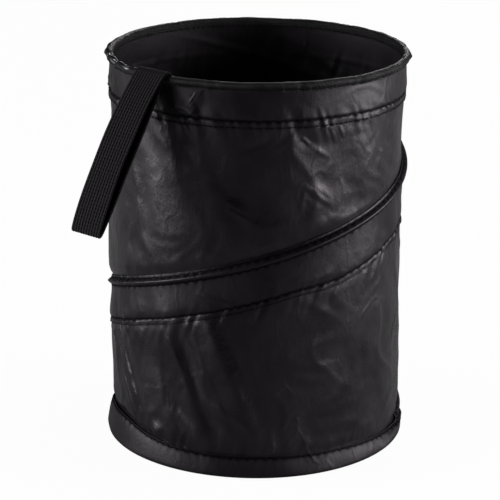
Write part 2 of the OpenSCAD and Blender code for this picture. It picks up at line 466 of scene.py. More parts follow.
class Shader:
    """A material and the one way that nodes are added to it."""

    def __init__(self, name: str) -> None:
        """Makes an empty material.

        Args:
            name: its name.
        """
        self.material = bpy.data.materials.new(name)
        self.material.use_nodes = True
        self.tree = self.material.node_tree
        self.tree.nodes.clear()

    def node(
        self, kind: str, settings: dict | None = None, inputs: dict | None = None, output: int | str = 0
    ) -> Value:
        """Adds a node.

        Args:
            kind: the node's type.
            settings: its properties, which are set first.
            inputs: values or links of its sockets, by name or number.
            output: the output to return.

        Returns:
            That output.
        """
        node = self.tree.nodes.new(kind)
        for key, value in (settings or {}).items():
            setattr(node, key, value)
        for key, value in (inputs or {}).items():
            if isinstance(value, Value):
                self.tree.links.new(value.socket, node.inputs[key])
            else:
                node.inputs[key].default_value = value
        return Value(self, node.outputs[output])

    def mark(self, name: str) -> Value:
        """A share that the mesh carries under a name, 0 where it has none."""
        return self.node("ShaderNodeAttribute", {"attribute_name": name}, None, "Fac")

    def places(self, output: str = "Object") -> Value:
        """The point shaded, in the piece's own coordinates or its UV map."""
        return self.node("ShaderNodeTexCoord", output=output)

    def scaled(self, point: Value, scale: tuple[float, float, float]) -> Value:
        """Points stretched by a Mapping node."""
        return self.node("ShaderNodeMapping", None, {"Vector": point, "Scale": scale})

    def noise(self, point: Value, scale: float, detail: float = 2.0, rough: float = 0.5) -> Value:
        """Soft noise from 0 to 1."""
        inputs = {"Vector": point, "Scale": scale, "Detail": detail, "Roughness": rough}
        return self.node("ShaderNodeTexNoise", None, inputs)

    def swirl(self, point: Value) -> Value:
        """Noise with three numbers, to warp another pattern."""
        inputs = {"Vector": point, "Scale": 55, "Detail": 2.0}
        return self.node("ShaderNodeTexNoise", None, inputs, "Color")

    def axes(self, point: Value) -> tuple[Value, Value, Value]:
        """A vector's three numbers."""
        first = self.node("ShaderNodeSeparateXYZ", None, {0: point})
        node = first.socket.node
        return first, Value(self, node.outputs[1]), Value(self, node.outputs[2])

    def mix(self, factor: object, a: tuple, b: tuple) -> Value:
        """A colour between two."""
        settings = {"data_type": "RGBA"}
        return self.node("ShaderNodeMix", settings, {"Factor": factor, 6: a, 7: b}, 2)

    def bump(self, height: Value, depth: float, strength: float = 1.0, under: Value | None = None) -> Value:
        """A normal from a height field."""
        inputs = {"Height": height, "Distance": depth, "Strength": strength}
        if under is not None:
            inputs["Normal"] = under
        return self.node("ShaderNodeBump", None, inputs)

    def finish(self, **inputs: object) -> bpy.types.Material:
        """Closes the material with a Principled shader and returns it."""
        self.node_output(self.surface(**inputs))
        return self.material

    def surface(self, **inputs: object) -> Value:
        """Adds a Principled shader, its sockets named with underscores for spaces."""
        named = {key.replace("_", " "): value for key, value in inputs.items()}
        return self.node("ShaderNodeBsdfPrincipled", None, named)

    def node_output(self, surface: Value) -> None:
        """Links a shader to the material's output."""
        end = self.tree.nodes.new("ShaderNodeOutputMaterial")
        self.tree.links.new(surface.socket, end.inputs["Surface"])


def grey(level: float) -> tuple[float, float, float, float]:
    """A near-black neutral with a breath of violet, as black dye has."""
    return (level * 1.12, level * 0.88, level * 1.14, 1.0)


# Finishes


@dataclass(frozen=True)
class FineCrease:
    """A crease too sharp for the mesh: a thin ridge from one angle and height to another."""

    angle_a: float
    z_a: float
    angle_b: float
    z_b: float
    height: float
    width: float = 1.1 * MM

    def ridge(self, round_at: Value, z: Value, bend: Value) -> Value:
        """Height of the ridge in a finish.

        Args:
            round_at: distance round the wall from +X.
            z: height.
            bend: how far the ridge strays from its straight line.

        Returns:
            The height, in millimetres.
        """
        x_a = math.radians(self.angle_a) * WALL_R
        dx = math.radians(self.angle_b - self.angle_a) * WALL_R
        dy = self.z_b - self.z_a
        length = math.hypot(dx, dy)
        x, y = round_at - x_a, z - self.z_a
        share = x * (dx / length**2) + y * (dy / length**2)
        away = (y * (dx / length) - x * (dy / length) + bend).size()
        return (1 - away.ramp(0, self.width)) * share.ramp(0, 0.3) * (1 - share.ramp(0.55, 1)) * self.height


WALL_CREASES = (
    FineCrease(-73.8, 0.1818, -69.5, 0.1768, 0.30, 1.8 * MM),
    FineCrease(-71.5, 0.1788, -60.0, 0.1675, 0.20, 2.4 * MM),
    FineCrease(-60.5, 0.1690, -65.8, 0.1560, 0.22, 2.4 * MM),
    FineCrease(-63.4, 0.1885, -58.6, 0.1745, 0.24, 1.9 * MM),
    FineCrease(-58.6, 0.1870, -55.5, 0.1770, 0.24, 2.0 * MM),
    FineCrease(-74.4, 0.1585, -58.5, 0.1418, 0.30, 2.6 * MM),
    FineCrease(-71.5, 0.1555, -73.9, 0.1400, 0.28, 2.4 * MM),
    FineCrease(-103.0, 0.1455, -88.5, 0.1350, 0.32, 2.0 * MM),
    FineCrease(-166.0, 0.0800, -139.0, 0.0150, 0.62, 3.4 * MM),
    FineCrease(-166.0, 0.0620, -143.0, 0.0160, 0.50, 3.0 * MM),
    FineCrease(-160.0, 0.0900, -146.0, 0.0560, 0.50, 3.2 * MM),
    FineCrease(-112.0, 0.0900, -88.0, 0.0140, 2.60, 9.0 * MM),
    FineCrease(-130.0, 0.0780, -116.0, 0.0480, 0.36, 2.8 * MM),
    FineCrease(-125.0, 0.0900, -101.0, 0.0120, -2.60, 8.0 * MM),
    FineCrease(81.0, 0.2035, 92.0, 0.1700, 0.90, 5.0 * MM),
    FineCrease(81.0, 0.2035, 48.0, 0.1760, 0.90, 5.0 * MM),
)
TAPE_CREASES = (
    FineCrease(-155.0, 0.1060, -146.5, 0.0870, 0.80, 2.0 * MM),
    FineCrease(-162.0, 0.1050, -154.0, 0.0870, 0.80, 2.2 * MM),
    FineCrease(-114.0, 0.0990, -93.0, 0.0920, 0.30, 2.2 * MM),
    FineCrease(-112.6, 0.2040, -116.6, 0.1960, 0.14, 1.2 * MM),
    FineCrease(-116.6, 0.1975, -113.0, 0.1890, 0.14, 1.2 * MM),
    FineCrease(-126.0, 0.1945, -114.5, 0.1915, 0.20, 1.8 * MM),
)


@dataclass(frozen=True)
class CoatedNylon:
    """Black nylon with a soft coating: a faint weave, crinkles and an uneven sheen."""

    name: str
    dark: float = 0.0028
    light: float = 0.0080
    rough: float = 0.31
    crinkle: float = 0.36 * MM
    lines: tuple[FineCrease, ...] = ()
    shine: float = 0.28

    def material(self) -> bpy.types.Material:
        """Builds the material."""
        s = Shader(self.name)
        point = s.places()
        cloud = s.noise(point, 38, 3, 0.55)
        fine = s.noise(point, 260, 3, 0.6)
        broad = s.noise(s.scaled(point, (1, 1, 0.55)), 120, 4, 0.62)
        x, y, z = s.axes(point)
        weave = (z * 9000).sine() * 0.5 + ((x + y) * 9000).sine() * 0.5
        colour = s.mix(cloud.ramp(0.3, 0.7), grey(self.dark), grey(self.light))
        rough = cloud * 0.30 + fine * 0.10 + (self.rough - 0.20)
        bent = {0: s.swirl(point), 1: (0.012,) * 3, 2: point}
        warped = s.node("ShaderNodeVectorMath", {"operation": "MULTIPLY_ADD"}, bent)
        cells = {"Vector": s.scaled(warped, (1, 1, 0.6)), "Scale": 62}
        lines = s.node("ShaderNodeTexVoronoi", {"feature": "DISTANCE_TO_EDGE"}, cells)
        ridge = 1 - lines.ramp(0.0, 0.10)
        soft = s.bump(broad * 1.0 + ridge * cloud.ramp(0.42, 0.75) * 0.55, self.crinkle, 1.0)
        if self.lines:
            round_at = y.maths("ARCTAN2", x) * WALL_R
            bend = cloud * (2.6 * MM) + fine * (0.8 * MM) - 1.7 * MM
            total = sum(line.ridge(round_at, z, bend) for line in self.lines)
            soft = s.bump(total, MM, 1.0, soft)
        normal = s.bump(weave + fine * 1.6, 0.010 * MM, 1.0, soft)
        seam = s.mark("seam")
        rough = rough + s.mark("inside") * 0.3
        tint = (1.0, 0.91, 1.0, 1.0)
        cloth = s.surface(
            Base_Color=colour,
            Roughness=rough,
            Normal=normal,
            Specular_IOR_Level=self.shine,
            Specular_Tint=tint,
            Sheen_Weight=0.02,
        )
        # A matt black that stands for shade: painted shade along the stitched seams and, at 35%, inside the
        # bin.
        painted_shade_black = s.node("ShaderNodeBsdfDiffuse", None, {"Color": grey(0.001)})
        shade = seam * 0.92 + s.mark("inside") * 0.35
        s.node_output(s.node("ShaderNodeMixShader", None, {0: shade, 1: cloth, 2: painted_shade_black}))
        return s.material


@dataclass(frozen=True)
class BindingTape:
    """Black woven binding: matt, with a coarse grain."""

    name: str = "binding_tape"

    def material(self) -> bpy.types.Material:
        """Builds the material."""
        s = Shader(self.name)
        point = s.places()
        grain = s.noise(point, 620, 4, 0.7)
        patch = s.noise(point, 90, 2)
        x, y, z = s.axes(point)
        weave = (z * 5200).sine() * ((x - y) * 5200).sine()
        colour = s.mix(patch.ramp(0.35, 0.7), grey(0.002), grey(0.007))
        normal = s.bump(weave * 0.4 + grain * 2.6, 0.24 * MM, 1.0, s.bump(patch, 1.2 * MM))
        rough = 0.30 + grain * 0.3
        return s.finish(
            Base_Color=colour, Roughness=rough, Normal=normal, Specular_IOR_Level=0.12, Sheen_Weight=0.01
        )


@dataclass(frozen=True)
class ElasticWebbing:
    """Black elastic webbing: ribs along it and a fine herringbone across each rib."""

    name: str = "elastic_webbing"
    ribs: int = WEBBING_RIBS
    picks: float = 130.0

    def material(self) -> bpy.types.Material:
        """Builds the material from the UV map: u along the strap, v across it."""
        s = Shader(self.name)
        u, v, _ = s.axes(s.places("UV"))
        rib = (v * (math.pi * self.ribs)).sine().size()
        pick = ((u * (math.pi * 2 * self.picks)) + rib * 2.4).sine()
        fuzz = s.noise(s.places(), 900, 2)
        # Rib crests are painted lighter as a painted highlight, and the hollows between the ribs darker as
        # painted shade.
        colour = s.mix(rib.ramp(0.5, 1.0), grey(0.0003), grey(0.012))
        normal = s.bump(pick * 0.5 + fuzz * 0.9, 0.12 * MM, 1.0)
        rough = 0.74 + fuzz * 0.15
        return s.finish(
            Base_Color=colour, Roughness=rough, Normal=normal, Specular_IOR_Level=0.1, Sheen_Weight=0.01
        )


@dataclass(frozen=True)
class Thread:
    """Black polyester sewing thread with a twist."""

    name: str = "sewing_thread"

    def material(self) -> bpy.types.Material:
        """Builds the material."""
        s = Shader(self.name)
        point = s.places()
        x, y, z = s.axes(point)
        twist = ((x + y + z) * 16000).sine()
        fuzz = s.noise(point, 1500, 2)
        colour = s.mix(fuzz, grey(0.0012), grey(0.005))
        normal = s.bump(twist + fuzz, 0.04 * MM)
        rough = 0.8 + fuzz * 0.2
        return s.finish(Base_Color=colour, Roughness=rough, Normal=normal, Specular_IOR_Level=0.06)


@dataclass(frozen=True)
class SpringSteel:
    """Drawn spring wire with fine marks along it."""

    name: str = "spring_steel"

    def material(self) -> bpy.types.Material:
        """Builds the material."""
        s = Shader(self.name)
        mark = s.noise(s.scaled(s.places(), (1, 1, 14)), 500, 3)
        colour = s.mix(mark, (0.30, 0.31, 0.33, 1), (0.5, 0.5, 0.52, 1))
        return s.finish(Base_Color=colour, Roughness=0.22 + mark * 0.2, Metallic=1.0)


@dataclass(frozen=True)
class PaleFloor:
    """A plain pale floor, white to the camera outside the object's shadow."""

    name: str = "pale_floor"

    def material(self) -> bpy.types.Material:
        """Builds the material."""
        s = Shader(self.name)
        lit = s.node("ShaderNodeBsdfDiffuse", None, {"Color": (0.31, 0.31, 0.31, 1)})
        white = s.node("ShaderNodeEmission", None, {"Color": (1, 1, 1, 1), "Strength": 1.07})
        path = s.node("ShaderNodeLightPath", output="Is Camera Ray")
        s.node_output(s.node("ShaderNodeMixShader", None, {0: path * 0.90, 1: lit, 2: white}))
        return s.material


SHELL_NYLON = CoatedNylon("shell_nylon", lines=WALL_CREASES)
TAPE_NYLON = CoatedNylon("tape_nylon", rough=0.37, crinkle=0.30 * MM, lines=TAPE_CREASES, shine=0.19)
HEM_NYLON = CoatedNylon("hem_nylon", rough=0.47, shine=0.17)
BASE_NYLON = CoatedNylon("base_nylon", dark=0.006, light=0.012, rough=0.46, crinkle=0.2 * MM)


@dataclass
class Finishes:
    """The materials, one each."""

    shell: bpy.types.Material = field(default_factory=lambda: SHELL_NYLON.material())
    tape: bpy.types.Material = field(default_factory=lambda: TAPE_NYLON.material())
    hem: bpy.types.Material = field(default_factory=lambda: HEM_NYLON.material())
    base: bpy.types.Material = field(default_factory=lambda: BASE_NYLON.material())
    binding: bpy.types.Material = field(default_factory=lambda: BindingTape().material())
    webbing: bpy.types.Material = field(default_factory=lambda: ElasticWebbing().material())
    thread: bpy.types.Material = field(default_factory=lambda: Thread().material())
    steel: bpy.types.Material = field(default_factory=lambda: SpringSteel().material())


class Body(Enum):
    """The two bodies that the collapse joins."""

    BASE = "base"
    RIM = "rim"


@dataclass
class Dresser:
    """Puts a finish on a piece and makes it ride on its body."""

    sizes: Sizes

    def dress(
        self,
        piece: bpy.types.Object,
        finish: bpy.types.Material,
        slot: str,
        body: Body,
        replaces: Iterable[str] = (),
        folds: bool = False,
    ) -> bpy.types.Object:
        """Finishes one piece.

        Args:
            piece: the piece, its mesh final.
            finish: its material.
            slot: not used.
            body: the body that it rides on.
            replaces: the solids that it stands for.
            folds: whether it gets a mesh of its own.

        Returns:
            The piece.
        """
        piece.data.materials.clear()
        piece.data.materials.append(finish)
        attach(piece, body.value)
        for node in replaces:
            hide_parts(node)
        if folds:
            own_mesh(piece)
        LOG.info("%s: %d faces on %s", piece.name, len(piece.data.polygons), body.value)
        return piece


# Stitches


@dataclass
class StitchRow:
    """A row of lockstitches along a line on the cloth."""

    name: str
    pitch: float = 2.9 * MM
    length: float = 2.45 * MM
    wide: float = 0.72 * MM
    thick: float = 0.42 * MM

    def template(self) -> tuple[np.ndarray, np.ndarray]:
        """One stitch as a stretched ball, along X, its vertices and faces."""
        deselect()
        bpy.ops.mesh.primitive_uv_sphere_add(segments=6, ring_count=5, radius=0.5)
        ball = bpy.context.object
        bpy.ops.transform.rotate(value=math.pi / 2, orient_axis="Y", center_override=(0, 0, 0))
        bpy.ops.transform.resize(value=(self.length, self.wide, self.thick))
        bpy.ops.object.transform_apply()
        rows = points_of(ball)
        faces = [list(face.vertices) for face in ball.data.polygons]
        bpy.data.objects.remove(ball)
        return rows, faces

    def along(self, points: np.ndarray) -> bpy.types.Object:
        """Sets stitches along a line.

        Args:
            points: rows of closely spaced points on the cloth's face.

        Returns:
            All the stitches as one object.
        """
        rows, faces = self.template()
        run = np.concatenate([[0], np.cumsum(np.linalg.norm(np.diff(points, axis=0), axis=1))])
        count = int(run[-1] / self.pitch)
        middle = (np.arange(count) + 0.5) * self.pitch
        place = np.stack([np.interp(middle, run, points[:, k]) for k in range(3)], axis=1)
        ahead = np.stack([np.interp(middle + 0.4 * MM, run, points[:, k]) for k in range(3)], axis=1)
        way = ahead - place
        way /= np.linalg.norm(way, axis=1, keepdims=True) + 1e-12
        out = place * [1, 1, 0]
        out /= np.linalg.norm(out, axis=1, keepdims=True)
        side = np.cross(out, way)
        draw = np.random.default_rng(len(points))
        skew = draw.normal(0, 0.10, count)[:, None]
        way, side = way + skew * side, side - skew * way
        solid = (
            place[:, None, :]
            + rows[None, :, 0:1] * way[:, None, :]
            + rows[None, :, 1:2] * side[:, None, :]
            + rows[None, :, 2:3] * out[:, None, :]
        )
        mesh = bpy.data.meshes.new(self.name)
        shift = len(rows)
        all_faces = [[v + i * shift for v in face] for i in range(count) for face in faces]
        mesh.from_pydata(solid.reshape(-1, 3).tolist(), [], all_faces)
        piece = bpy.data.objects.new(self.name, mesh)
        bpy.context.collection.objects.link(piece)
        face_outwards(piece)
        smooth_faces(piece, 80)
        return piece


# The cloth's shape


@dataclass
class ClothShape:
    """How far the wall's cloth, and what is sewn on it, stands from a plain tube.

    One shape serves the wall, the tape and the bands, so that they don't cut
    through one another at full height. Pushed flat, the wall and the tape keep
    their radii, and stand up to 2.4 mm outside the band's face in places.
    """

    sizes: Sizes
    route: WireRoute
    fullness: float = 0.9 * MM
    broad: float = 0.5 * MM
    crinkle: float = 0.16 * MM
    gather: float = 0.42 * MM
    drape: "Drape | None" = None
    wire_half: float = 1.6 * MM
    held_below: float = 20 * MM
    held_above: float = 8 * MM
    most_in: float = 3.0 * MM
    most_out: float = 2.9 * MM
    hem_rise: float = 6.2 * MM
    hem_dip: float = 2.4 * MM
    full_left: float = 1.1 * MM
    drawn_right: float = 1.7 * MM
    tape_hem: float = 3.4 * MM
    tape_short: float = 23.6 * MM
    tape_step: float = 3.2 * MM
    step_angle: float = -78.0
    step_sweep: float = 22.0
    creases: tuple[Crease, ...] = (
        Crease(-73, 0.1583, -58, 0.1413, 0.9 * MM, 3.6 * MM),
        Crease(-75, 0.1833, -62, 0.1683, 0.7 * MM, 2.8 * MM),
        Crease(-103, 0.1463, -86, 0.1353, 1.2 * MM, 3.2 * MM),
        Crease(-73.5, 0.1903, -72.5, 0.1203, 1.6 * MM, 10 * MM),
        Crease(-139, 0.1960, -136, 0.1380, 1.5 * MM, 8 * MM),
        Crease(-92, 0.0140, -113, 0.0880, 2.8 * MM, 7.0 * MM),
        Crease(-80, 0.0200, -90, 0.0850, 1.2 * MM, 7.0 * MM),
        Crease(-116, 0.0140, -138, 0.0900, 1.5 * MM, 7.0 * MM),
        Crease(-124, 0.0353, -116, 0.0203, 1.1 * MM, 2.6 * MM),
        Crease(-107, 0.0453, -96, 0.0163, 0.7 * MM, 3.0 * MM),
        Crease(-70, 0.0773, -50, 0.0423, 0.8 * MM, 5.0 * MM),
        Crease(-31, 0.0953, -25, 0.0243, 1.1 * MM, 3.6 * MM),
        Crease(-22, 0.1063, -17, 0.0423, 0.9 * MM, 2.8 * MM),
        Crease(-146, 0.1543, -129, 0.1123, 1.3 * MM, 3.6 * MM),
        Crease(-152, 0.1223, -143, 0.0623, 1.1 * MM, 3.4 * MM),
        Crease(-36, 0.1743, -19, 0.1523, 1.1 * MM, 3.4 * MM),
        Crease(4, 0.1523, 18, 0.1283, 1.1 * MM, 3.4 * MM),
        Crease(18, 0.1103, 36, 0.0663, 1.4 * MM, 4.0 * MM),
        Crease(42, 0.0623, 54, 0.0243, 1.2 * MM, 3.4 * MM),
        Crease(56, 0.1383, 75, 0.1023, 1.5 * MM, 4.0 * MM),
        Crease(62, 0.0503, 80, 0.0223, 1.3 * MM, 3.6 * MM),
        Crease(94, 0.1263, 113, 0.0883, 1.4 * MM, 4.0 * MM),
        Crease(120, 0.0663, 138, 0.0283, 1.3 * MM, 3.8 * MM),
        Crease(128, 0.1603, 141, 0.1283, 1.1 * MM, 3.4 * MM),
        Crease(160, 0.1683, 177, 0.1323, 1.4 * MM, 4.0 * MM),
        Crease(166, 0.1023, 180, 0.0683, 1.2 * MM, 3.6 * MM),
        Crease(-173, 0.0683, -157, 0.0303, 1.3 * MM, 3.6 * MM),
    )

    def hem_top(self, angle: np.ndarray) -> np.ndarray:
        """Height of the base hem's upper edge, which wanders: high on the left, low on the right."""
        left = bell(turned_from(angle, -160) / 25)
        right = bell(turned_from(angle, -18) / 24)
        return self.sizes.base_hem + self.hem_rise * left - self.hem_dip * right

    def fill(self, angle: np.ndarray, z: np.ndarray) -> np.ndarray:
        """How full the free cloth stands: fuller low on the left, drawn in at the right."""
        left = bell(turned_from(angle, -170) / 35) * bell((z - 95 * MM) / (40 * MM))
        right = bell(turned_from(angle, -5) / 35) * bell((z - 150 * MM) / (40 * MM))
        return self.fullness + self.full_left * left - self.drawn_right * right

    def tape_drop(self, angle: np.ndarray) -> np.ndarray:
        """Height of the tape from the wire down to its lower edge."""
        return self.tape_short + self.tape_step * smooth((angle - self.step_angle) / self.step_sweep)

    def wires(self, angle: np.ndarray, z: np.ndarray) -> list[tuple[np.ndarray, np.ndarray, np.ndarray]]:
        """Each pass of the helix: its own angle, the height above it and how far it has begun."""
        passes = []
        for turn in range(3):
            own = np.broadcast_to(angle - TURN * turn, np.broadcast(angle, z).shape)
            begins = smooth((self.sizes.leave - 6 - own) / 10)
            passes.append((own, z - self.route.z(own), begins * (own >= self.route.end)))
        return passes

    def wire_cover(self, angle: np.ndarray, z: np.ndarray, wide: float = 1.55 * MM) -> np.ndarray:
        """A bump, 1 over the wire, that lifts cloth over the helix."""
        angle = turned_from(angle, 0)
        cover = np.zeros(np.broadcast(angle, z).shape)
        for _, above, there in self.wires(angle, z):
            cover = np.maximum(cover, bell(above / wide) * there)
        return cover

    def seam_waves(self, angle: np.ndarray, z: np.ndarray) -> np.ndarray:
        """Gathers along the tape's two edges, the rim seam and the base seam."""
        along = self.sizes.along(angle)
        waves = np.zeros(np.broadcast(angle, z).shape)
        for own, above, there in self.wires(angle, z):
            run = self.sizes.along(own)
            upper = puckers(run + 0.5 * above, above - 5.5 * MM, 6.3 * MM, 5.5 * MM, 11)
            lower_away = above + self.tape_drop(own)
            lower = puckers(run - 0.4 * above, lower_away + 2.5 * MM, 7.4 * MM, 7.5 * MM, 12)
            waves += there * (0.24 * upper * (above > 0) * smooth(above / (4 * MM)) + lower)
        rim = puckers(along + 0.3 * z, z - self.sizes.rim_seam + 4 * MM, 7.9 * MM, 7 * MM, 13)
        base = puckers(along - 0.3 * z, z - self.hem_top(angle) - 3 * MM, 8.8 * MM, 5 * MM, 14)
        return waves + rim * (z < self.sizes.rim_seam + 6 * MM) + base

    def grooves(self, angle: np.ndarray, z: np.ndarray) -> np.ndarray:
        """How far the rows of stitches pull the cloth in along the seams."""
        narrow, wide = 0.75 * MM, 1.1 * MM
        depth = 0.34 * bell((z - self.sizes.rim_seam) / narrow)
        depth = depth + 0.45 * bell((z - self.hem_top(angle) - 0.9 * MM) / wide)
        for own, above, there in self.wires(angle, z):
            rows = 0.5 * bell((above - self.tape_hem - 0.3 * MM) / wide)
            rows = rows + 0.5 * bell((above + self.tape_drop(own) - 3.2 * MM) / narrow)
            depth = depth + there * rows
        return np.minimum(depth, 0.5) * MM

    def hold(self, angle: np.ndarray, z: np.ndarray) -> np.ndarray:
        """0 where the wire, the rim or the base hem holds the cloth, 1 where it is free."""
        sizes = self.sizes
        free = smooth((sizes.binding_low - z) / (20 * MM))
        free = free * smooth((z - self.hem_top(angle) + 1 * MM) / (9 * MM))
        for own, above, there in self.wires(angle, z):
            away = np.abs(above) - self.wire_half
            reach = np.where(above < 0, self.held_below, self.held_above)
            free = free * (1 - there * (1 - smooth(away / reach)))
            seam = np.abs(above + self.tape_drop(own) - 1.8 * MM)
            free = free * (1 - there * 0.45 * (1 - smooth(seam / (6 * MM))))
        return free

    def offset(self, angle: np.ndarray, z: np.ndarray) -> np.ndarray:
        """How far the cloth's face stands out from the plain tube, in metres."""
        angle = turned_from(np.asarray(angle, float), 0)
        z = np.asarray(z, float)
        free = self.hold(angle, z)
        warp = 5 * Ripples(31, 9, 30, 10).at(angle, z)
        shift = 4 * MM * Ripples(32, 9, 30, 10).at(angle, z)
        bent, lifted = angle + 0.25 * warp, z + 0.2 * shift
        folds = sum(crease.at(bent, lifted, self.sizes.wall_r) for crease in self.creases)
        ridged = 0.6 - np.abs(Ripples(34, 22, 42, 16, 5).at(angle + warp, z + shift))
        moved = folds + self.crinkle * ridged + self.fill(angle, z)
        if self.drape is None:
            moved = moved + self.broad * Ripples(33, 8, 16, 16, 2).at(angle, z)
        moved = free * moved
        if self.drape is not None:
            moved = moved + self.drape.at(angle, z)
        moved = np.clip(moved, -self.most_in, self.most_out)
        waves = self.gather * self.seam_waves(angle, z)
        near_rim = smooth((self.sizes.binding_low - z) / (9 * MM))
        near_base = smooth((z - self.hem_top(angle) + 1 * MM) / (3 * MM))
        clear = np.ones_like(free)
        for _, above, there in self.wires(angle, z):
            clear = clear * (1 - there * (1 - smooth((np.abs(above) - 1.8 * MM) / (2.4 * MM))))
        return moved + waves * near_rim * near_base * clear - self.grooves(angle, z) * near_rim


@dataclass
class Drape:
    """The wall's cloth let out a little and settled between its seams by simulation."""

    sizes: Sizes
    shape: ClothShape
    across: int = 180
    up: int = 86
    scale: float = 10.0
    slack: float = 1.002
    twist: float = 0.5
    frames: int = 16
    pinned_half: float = 1.9 * MM
    stands: np.ndarray | None = None

    def lay(self, u: np.ndarray, v: np.ndarray) -> np.ndarray:
        """The cloth before it settles, at the simulation's scale."""
        sizes = self.sizes
        angle = TURN * u - 180
        z = sizes.wall_bottom + (sizes.wall_top - sizes.wall_bottom) * v
        start = 0.25 * MM * Ripples(71, 16, 26, 16, 3).at(angle, z) * self.shape.hold(angle, z)
        return self.scale * polar(angle, sizes.wall_r + start, z)

    def pins(self, rows: np.ndarray) -> np.ndarray:
        """Which vertices the wire and the seams hold."""
        angle, _, z = cylinder_of(rows / self.scale)
        held = (z > self.sizes.rim_seam - 0.5 * MM) | (z < self.sizes.base_hem)
        for _, above, there in self.shape.wires(angle, z):
            held |= (there > 0.5) & (np.abs(above) < self.pinned_half)
        return held

    def run(self) -> None:
        """Simulates the cloth and keeps how far it stands out on a regular grid."""
        piece = cloth_grid("wall_drape", self.across, self.up, self.lay, closed=True)
        rows = points_of(piece)
        angle, r, z = cylinder_of(rows)
        group = piece.vertex_groups.new(name="held")
        group.add([int(i) for i in np.flatnonzero(self.pins(rows))], 1.0, "REPLACE")
        middle = z.mean()
        loose = 1 + 0.7 * Ripples(72, 4, 0.7, 10, 2).at(angle, z)
        turned = angle + self.twist * loose * (z - middle) / (z.max() - middle)
        let_out = 1 + (self.slack - 1) * loose
        set_points(piece, polar(turned, let_out * r, middle + self.slack * (z - middle)))
        piece.shape_key_add(name="Basis")
        placed = piece.shape_key_add(name="placed")
        placed.data.foreach_set("co", rows.astype(np.float32).ravel())
        for frame, value in ((1, 0.0), (self.frames // 2, 1.0)):
            placed.value = value
            placed.keyframe_insert("value", frame=frame)
        cloth = piece.modifiers.new("cloth", "CLOTH")
        settings = cloth.settings
        settings.vertex_group_mass = "held"
        settings.quality = 5
        settings.mass = 0.1
        settings.tension_stiffness = settings.compression_stiffness = 20
        settings.shear_stiffness = 8
        settings.bending_stiffness = 0.4
        settings.air_damping = 4
        settings.effector_weights.gravity = 0.05
        cloth.collision_settings.use_collision = False
        cloth.point_cache.frame_start, cloth.point_cache.frame_end = 1, self.frames
        scene = bpy.context.scene
        for frame in range(1, self.frames + 1):
            scene.frame_set(frame)
        settled = piece.evaluated_get(bpy.context.evaluated_depsgraph_get()).data
        flat = np.empty(len(settled.vertices) * 3)
        settled.vertices.foreach_get("co", flat)
        moved = np.hypot(flat[0::3], flat[1::3]) / self.scale - self.sizes.wall_r
        column = np.rint((angle + 180) / TURN * self.across).astype(int) % self.across
        low, high = self.sizes.wall_bottom * self.scale, self.sizes.wall_top * self.scale
        line = np.clip(np.rint((z - low) / (high - low) * self.up), 0, self.up).astype(int)
        self.stands = np.zeros((self.across, self.up + 1))
        self.stands[column, line] = moved
        bpy.data.objects.remove(piece)
        scene.frame_set(1)
        LOG.info("drape: from %.2f to %.2f mm", moved.min() / MM, moved.max() / MM)

    def at(self, angle: np.ndarray, z: np.ndarray) -> np.ndarray:
        """How far the settled cloth stands out, between the grid's points."""
        sizes = self.sizes
        x = ((angle + 180) / TURN * self.across) % self.across
        y = np.clip((z - sizes.wall_bottom) / (sizes.wall_top - sizes.wall_bottom), 0, 1) * self.up
        i, j = np.floor(x).astype(int), np.floor(y).astype(int)
        total = np.zeros(np.broadcast(angle, z).shape)
        for di, across in enumerate(self.weights(x - i), -1):
            for dj, up in enumerate(self.weights(y - j), -1):
                total += across * up * self.stands[(i + di) % self.across, np.clip(j + dj, 0, self.up)]
        return total * self.share(angle, z)

    @staticmethod
    def weights(t: np.ndarray) -> tuple[np.ndarray, ...]:
        """Weights of the four grid points round a place, for a smooth surface."""
        rest = 1 - t
        return rest**3 / 6, (3 * t**3 - 6 * t**2 + 4) / 6, (3 * rest**3 - 6 * rest**2 + 4) / 6, t**3 / 6

    def share(self, angle: np.ndarray, z: np.ndarray) -> np.ndarray:
        """How much of the folds stays: most of it low on the left of the front."""
        front = bell((angle + 90) / 55)
        low_left = bell((angle + 122) / 26) * (1 - smooth((z - 80 * MM) / (18 * MM)))
        return 0.5 - 0.28 * front + 0.4 * low_left


# Sub-assemblies


@dataclass
class Camera:
    """The photograph's camera, a long way off and a little above the bin."""

    distance: float = 1.1844
    height: float = 0.4747
    aside: float = -0.0033
    look_down: float = 0.3071
    roll: float = math.radians(0.5)
    focal: float = 166.7
    sensor: float = 36.0

    def build(self) -> None:
        """Makes it the scene's camera."""
        lens = bpy.data.cameras.new("camera")
        lens.sensor_width = self.sensor
        lens.lens = self.focal
        camera = bpy.data.objects.new("camera", lens)
        camera.location = (self.aside, -self.distance, self.height)
        camera.rotation_euler = (math.pi / 2 - self.look_down, 0, 0)
        camera.rotation_euler.rotate_axis("Z", self.roll)
        bpy.context.collection.objects.link(camera)
        bpy.context.scene.camera = camera


@dataclass(frozen=True)
class Lamp:
    """A square soft lamp that faces the bin."""

    name: str
    place: tuple[float, float, float]
    size: float
    power: float

    def build(self) -> None:
        """Hangs the lamp in its place."""
        light = bpy.data.lights.new(self.name, "AREA")
        light.size = self.size
        light.energy = self.power
        lamp = bpy.data.objects.new(self.name, light)
        lamp.location = self.place
        from_bin = np.array(self.place) - (0, 0, 0.1)
        flat = math.hypot(from_bin[0], from_bin[1])
        lamp.rotation_euler = (math.atan2(flat, from_bin[2]), 0, math.atan2(from_bin[0], -from_bin[1]))
        bpy.context.collection.objects.link(lamp)


